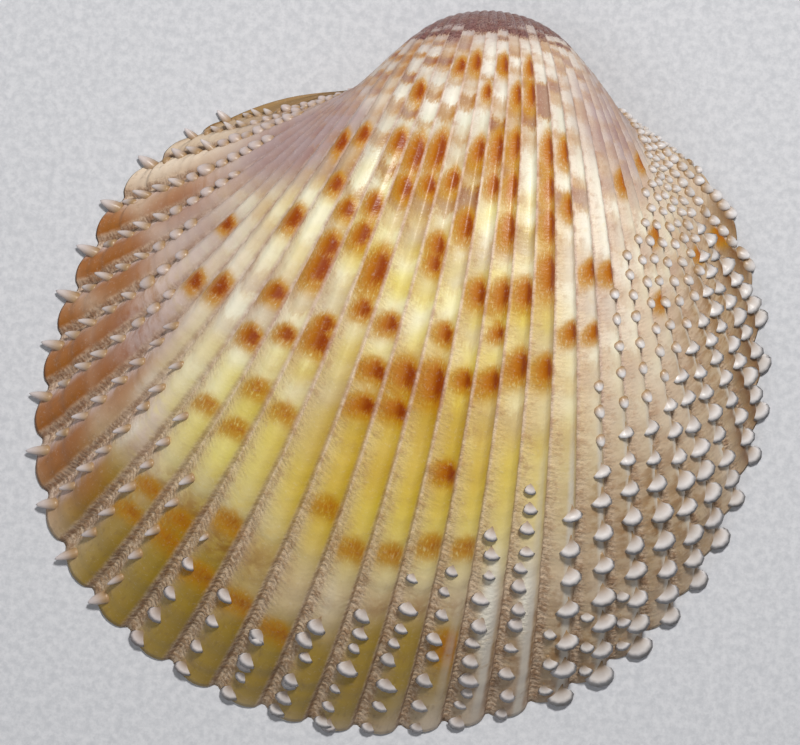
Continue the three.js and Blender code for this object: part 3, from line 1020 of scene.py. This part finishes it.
# %% White scales with a stained foot
scale_finish, shader, w = begin("scale_finish")
spot = place_on(w)
tip = mask_of(w, "tip")
cloud = noise(w, spot, 500.0, 3.0)
grain = noise(w, spot, 2600.0, 3.0)
white = cloud.step(0.3, 0.7).mix(tint(236, 234, 236), tint(214, 208, 204))
white = (mask_of(w, "stain") * 0.8).over(white, 194, 176, 172)
body = (tip + (cloud - 0.5) * 0.5).step(0.1, 0.9).mix(tint(166, 134, 96), white)
body = (grain.step(0.55, 0.75) * 0.2).over(body, 196, 170, 150)
w.join(shader.inputs["Base Color"], body)
w.join(shader.inputs["Roughness"], 0.28 + grain * 0.2)
w.join(shader.inputs["Normal"], bump(w, grain, 0.3, 0.0001))
scale_mesh.materials.append(scale_finish)
print("scale finish has", len(scale_finish.node_tree.nodes), "nodes")

# %% [markdown]
# ## Tie the pieces to the frame
#
# The frame has one body and one solid. Both pieces ride on that body. The skin stands for
# the solid, which is then hidden.

# %% Ride and replace
for piece in (valve, scales):
    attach(piece, "root")
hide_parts("valve")
print("pieces:", valve.name, scales.name)

# %% [markdown]
# ## Paper, light and camera
#
# The valve lies on plain pale paper. A lamp high behind the beak gives soft light with a
# thin shadow below the rim, and a wide weak lamp on the left opens the dark side. The
# camera looks straight down from 264 mm, so that the near crown is slightly enlarged.

# %% Paper under the shell
paper_mesh = bpy.data.meshes.new("paper")
HALF = 0.6
DOWN = -0.00002
corners = [(-HALF, -HALF, DOWN), (HALF, -HALF, DOWN), (HALF, HALF, DOWN), (-HALF, HALF, DOWN)]
paper_mesh.from_pydata(corners, [], [(0, 1, 2, 3)])
paper = bpy.data.objects.new("paper", paper_mesh)
bpy.context.scene.collection.objects.link(paper)
paper_finish, shader, w = begin("paper_finish")
fibre = noise(w, place_on(w), 1500.0, 4.0, 0.7).step(0.3, 0.7)
w.join(shader.inputs["Base Color"], fibre.mix(tint(192, 194, 199), tint(212, 213, 217)))
shader.inputs["Roughness"].default_value = 0.9
paper_mesh.materials.append(paper_finish)
paper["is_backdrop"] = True
print("paper", 2 * HALF, "m wide")


# %% Lamps
AIM = Vector((0, 0, 0.008))


def lamp(name, place_at, size, power, colour):
    data = bpy.data.lights.new(name, "AREA")
    data.size = size
    data.energy = power
    data.color = colour
    made = bpy.data.objects.new(name, data)
    made.location = place_at
    towards = AIM - Vector(place_at)
    made.rotation_euler = towards.to_track_quat("-Z", "Y").to_euler()
    bpy.context.scene.collection.objects.link(made)
    return made


lamps = [
    lamp("key_lamp", (0.04, 0.16, 0.32), 0.05, 1.08, (1.0, 0.98, 0.95)),
    lamp("fill_lamp", (-0.16, -0.04, 0.36), 0.2, 0.22, (0.95, 0.97, 1.0)),
]
world = bpy.data.worlds.new("studio")
bpy.context.scene.world = world
world.use_nodes = True
background = world.node_tree.nodes["Background"]
background.inputs["Color"].default_value = (0.93, 0.95, 1.0, 1.0)
background.inputs["Strength"].default_value = 0.16
bpy.context.scene.view_settings.view_transform = "Standard"
print(len(lamps), "lamps")

# %% Camera
SENSOR = 36.0
camera_data = bpy.data.cameras.new("camera")
camera_data.sensor_width = SENSOR
camera_data.lens = SENSOR * EYE / (PICTURE[0] * STEP)
camera = bpy.data.objects.new("camera", camera_data)
camera.location = (VIEW_MIDDLE[0] / MM, VIEW_MIDDLE[1] / MM, EYE / MM)
camera.rotation_euler = (0.0, 0.0, VIEW_TURN)
bpy.context.scene.collection.objects.link(camera)
bpy.context.scene.camera = camera
print("lens", round(camera_data.lens, 1), "mm")

# %% [markdown]
# ## The size of the dressed piece
#
# The dressed piece must stay inside the box of the solid part, so both boxes are written
# down and can be compared after each change.

# %% Write the dressed box
bpy.context.view_layer.update()
dressed_box = [list(corner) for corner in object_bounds()]
print("dressed box", [[round(c * MM, 2) for c in corner] for corner in dressed_box])
